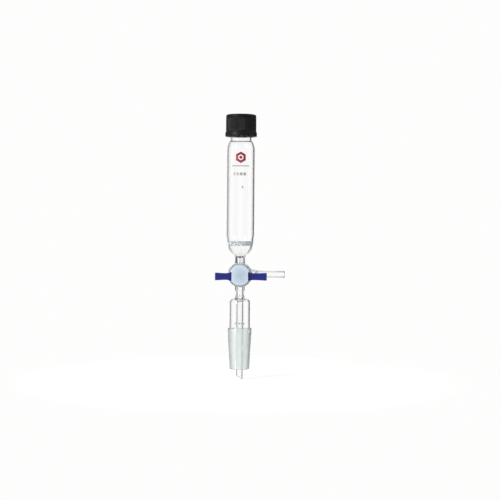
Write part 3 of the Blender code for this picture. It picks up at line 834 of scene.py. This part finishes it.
def build_liner(silicone, facing):
    """Silicone septum and its thin PTFE facing, both with softened edges."""
    edge = 0.3
    for name, low, high, slot, node, mat in (
            ("silicone_septum", SEPTUM_LOW, SEPTUM_HIGH, "silicone", "septum", silicone),
            ("ptfe_facing", FACING_LOW, FACING_HIGH, "ptfe", "septum_facing", facing)):
        soft = min(edge, (high - low) / 3)
        outline = [(0, low), (LINER_R - soft, low), (LINER_R, low + soft), (LINER_R, high - soft),
                   (LINER_R - soft, high), (0, high)]
        piece = turned(name, outline)
        finish_piece(piece, "liner", [node], [mat])


# ================================================================================================
# Printed marks: plain shapes only, no lettering
# ================================================================================================

def wrapped(name, outline, radius_at, height, thickness=0.05):
    """A flat (x, z) outline wrapped round the front of the glass as a thin raised print."""
    off_glass = 0.012
    bm = bmesh.new()
    layers = []
    for lift in (off_glass, off_glass + thickness):
        ring = []
        for x, z in outline:
            radius = radius_at + lift
            angle = x / radius_at
            ring.append(bm.verts.new((radius * sin(angle) * MM, -radius * cos(angle) * MM,
                                      (height + z) * MM)))
        layers.append(ring)
    count = len(outline)
    for i in range(count):
        j = (i + 1) % count
        bm.faces.new((layers[0][i], layers[0][j], layers[1][j], layers[1][i]))
    bm.faces.new(layers[0][::-1])
    bm.faces.new(layers[1])
    return make_object(name, bm)


def bar_outline(x0, x1, thickness):
    """A thin bar with enough points along it to follow the round glass."""
    steps = max(2, ceil((x1 - x0) / 0.6))
    xs = [x0 + (x1 - x0) * i / steps for i in range(steps + 1)]
    return [(x, -thickness / 2) for x in xs] + [(x, thickness / 2) for x in xs[::-1]]


def joined(name, pieces):
    """One object out of several that keep their own closed shells."""
    bm = bmesh.new()
    for piece in pieces:
        bm.from_mesh(piece.data)
        bpy.data.objects.remove(piece, do_unlink=True)
    return make_object(name, bm)


def build_marks(red, grey):
    """A red six-sided ring, plain bars where a scale would be printed, and a cone mark."""
    sides = []
    outer, inner = 5.7, 2.9
    for k in range(6):
        a0, a1 = radians(90 + 60 * k), radians(90 + 60 * (k + 1))
        corners = [(outer, a0), (outer, a1), (inner, a1), (inner, a0)]
        quad = [(r * cos(a), r * sin(a)) for r, a in corners]
        outline = []
        for (x0, z0), (x1, z1) in zip(quad, quad[1:] + quad[:1]):
            outline += [(x0 + (x1 - x0) * i / 6, z0 + (z1 - z0) * i / 6) for i in range(6)]
        sides.append(wrapped(f"side_{k}", outline, BODY_R, EMBLEM_Z))
    disc = [(1.6 * cos(radians(a)), 1.6 * sin(radians(a))) for a in range(0, 360, 15)]
    sides.append(wrapped("dot", disc, BODY_R, EMBLEM_Z))
    finish_piece(joined("red_hexagon", sides), "glassware", (), [red])

    bars = [wrapped("rule", bar_outline(-8.9, 8.9, 1.1), BODY_R, RULE_Z)]
    for x0, x1 in ((-7.4, -5.3), (-3.9, -2.0), (-0.9, 1.9), (2.8, 5.4)):
        bars.append(wrapped("bar", bar_outline(x0, x1, 2.9), BODY_R, SCALE_BARS_Z))
    bars.append(wrapped("dot", bar_outline(1.2, 2.6, 2.4), BODY_R, SCALE_DOT_Z))
    finish_piece(joined("grey_scale_bars", bars), "glassware", (), [grey])

    bars = [wrapped("bar", bar_outline(x0, x1, 1.5), SHANK_R, CONE_BARS_Z)
            for x0, x1 in ((-5.2, -2.2), (-1.4, 0.6), (1.4, 5.0))]
    finish_piece(joined("grey_cone_bars", bars), "glassware", (), [grey])


# ================================================================================================
# Studio
# ================================================================================================

def build_floor():
    """A round pale table just under the tip of the drip tube."""
    top = CAD_BOUNDS[0][2] / MM - 0.4
    radius, thickness = 300, 5
    shaded, clear = 0.06, 0.24      # metres from the axis where the soft shading fades out
    outline = [(0, top - thickness), (radius, top - thickness), (radius, top), (0, top)]
    floor_disc = turned("studio_floor", outline, segments=96)
    s = Surface("floor_paper", (0.0, 0.0, 0.0), 0.7, Specular_IOR_Level=0.0)
    gradient = s.nodes.new("ShaderNodeVectorMath")
    gradient.operation = "LENGTH"
    s.links.new(s.coords, gradient.inputs[0])
    away = gradient.outputs["Value"]
    s.vary_color(s.remap(away, 0.0, 1.0, shaded, clear), (0.5, 0.5, 0.495), (0.0, 0.0, 0.0),
                 0.0, 1.0)
    s.shader.inputs["Emission Color"].default_value = (1.0, 1.0, 0.995, 1.0)
    s.links.new(s.remap(away, 0.62, 0.985, shaded, clear), s.shader.inputs["Emission Strength"])
    s.bump(s.noise(60.0), 0.05, 0.2)
    floor_disc.data.materials.append(s.mat)
    floor_disc.visible_transmission = False


def build_world():
    """White backdrops in the four main directions, with darker gaps between them.

    The gaps are what draws the dark lines along the edges of clear glass.  They are lighter to
    the left than to the right, and lighter still on the camera's side, which keeps their
    reflections off the glass.
    """
    world = bpy.data.worlds.new("studio")
    bpy.context.scene.world = world
    world.use_nodes = True
    nodes, links = world.node_tree.nodes, world.node_tree.links
    back = nodes["Background"]

    def compute(operation, *values):
        node = nodes.new("ShaderNodeMath")
        node.operation = operation
        for socket, value in zip(node.inputs, values):
            if isinstance(value, (int, float)):
                socket.default_value = value
            else:
                links.new(value, socket)
        return node.outputs["Value"]

    def fade(value, from_low, from_high):
        node = nodes.new("ShaderNodeMapRange")
        node.interpolation_type = "SMOOTHSTEP"
        node.inputs["From Min"].default_value = from_low
        node.inputs["From Max"].default_value = from_high
        links.new(value, node.inputs["Value"])
        return node.outputs["Result"]

    split = nodes.new("ShaderNodeSeparateXYZ")
    links.new(nodes.new("ShaderNodeTexCoord").outputs["Generated"], split.inputs["Vector"])
    turn = compute("ARCTAN2", split.outputs["X"], split.outputs["Y"])
    ahead = fade(compute("COSINE", compute("MULTIPLY", turn, 4.0)), -0.25, 0.55)
    height = compute("ABSOLUTE", split.outputs["Z"])
    level = fade(height, 0.55, 0.26)
    bright, above = 0.985, 0.62     # strength of the backdrops, and of floor and ceiling
    to_right = fade(split.outputs["X"], -0.25, 0.25)
    behind = fade(split.outputs["Y"], -0.1, 0.5)
    left_gap, right_change, front_change = 0.34, -0.24, 0.45
    gap = compute("MULTIPLY_ADD", to_right, right_change, left_gap)
    gap = compute("MULTIPLY_ADD", compute("SUBTRACT", 1.0, behind), front_change, gap)
    lobes = compute("MULTIPLY_ADD", ahead, compute("SUBTRACT", bright, gap), gap)
    rest = compute("MULTIPLY", compute("SUBTRACT", 1.0, level), above)
    links.new(compute("MULTIPLY_ADD", level, lobes, rest), back.inputs["Strength"])
    back.inputs["Color"].default_value = (1.0, 1.0, 0.995, 1.0)


def add_softbox(name, place, target, size, power):
    """A square area light that faces its target."""
    light = bpy.data.lights.new(name, "AREA")
    light.energy = power
    light.size = size
    obj = bpy.data.objects.new(name, light)
    obj.location = place
    obj.rotation_euler = (Vector(target) - Vector(place)).to_track_quat("-Z", "Y").to_euler()
    bpy.context.scene.collection.objects.link(obj)


def build_camera():
    """Seen from the front at the height of the reservoir's foot, very slightly rolled."""
    sideways, distance, height, aim_height = 0.00975, 1.25, 0.105, 0.0784
    field, sensor, roll = 0.5, 36.0, 0.45
    camera = bpy.data.cameras.new("camera")
    obj = bpy.data.objects.new("camera", camera)
    place, aim = Vector((sideways, -distance, height)), Vector((sideways, 0.0, aim_height))
    turn = (aim - place).to_track_quat("-Z", "Y").to_matrix().to_4x4()
    obj.matrix_world = Matrix.Translation(place) @ turn @ Matrix.Rotation(radians(roll), 4, "Z")
    camera.sensor_width = sensor
    camera.lens = sensor * (aim - place).length / field
    camera.clip_end = 20.0
    bpy.context.scene.collection.objects.link(obj)
    bpy.context.scene.camera = obj


# ================================================================================================
# The whole object
# ================================================================================================

GLASS_NODES = ["threaded_neck", "reservoir_tube", "lower_bowl", "upper_stem", "stopcock_barrel",
               "side_arm", "lower_stem", "joint_shank", "ground_cone", "drip_tube"]


def main():
    build_camera()
    # The first PTFE colour is painted shade for the middle of the head's face; the second is the
    # PTFE's own tone.
    white_ptfe = ptfe("turned_ptfe", (0.34, 0.42, 0.48), (0.47, 0.53, 0.62))
    blue = moulded("royal_blue_plastic", (0.006, 0.011, 0.15), 0.34, 0.28)
    black = moulded("black_phenolic", (0.004, 0.004, 0.004), 0.4, 0.14, 0.015, 2200.0)
    white = moulded("white_plastic", (0.80, 0.82, 0.84), 0.4, fleck=0.03)

    glass = build_glass()
    finish_piece(glass, "glassware", GLASS_NODES,
                 [clear_glass(), ground_glass()])
    frost(glass)
    finish_piece(build_frit(), "glassware", ["fritted_disc"],
                 [sintered_glass()])
    build_plug(white_ptfe)
    build_handle(blue)
    build_washer(white_ptfe)
    build_oring(rubber("oring_rubber", (0.02, 0.02, 0.02)))
    build_nut(white)
    build_cap(black)
    build_liner(rubber("red_silicone", (0.45, 0.11, 0.07)), white_ptfe)
    build_marks(enamel("red_enamel", (0.25, 0.005, 0.025)),
                enamel("grey_enamel", (0.32, 0.31, 0.31)))

    build_floor()
    build_world()
    add_softbox("key", (-1.1, -1.0, 0.6), (0, 0, 0.08), 0.6, 22.0)
    add_softbox("fill", (1.2, -1.0, 0.9), (0, 0, 0.08), 0.9, 3.0)
    bpy.context.scene.view_settings.view_transform = "Standard"


main()
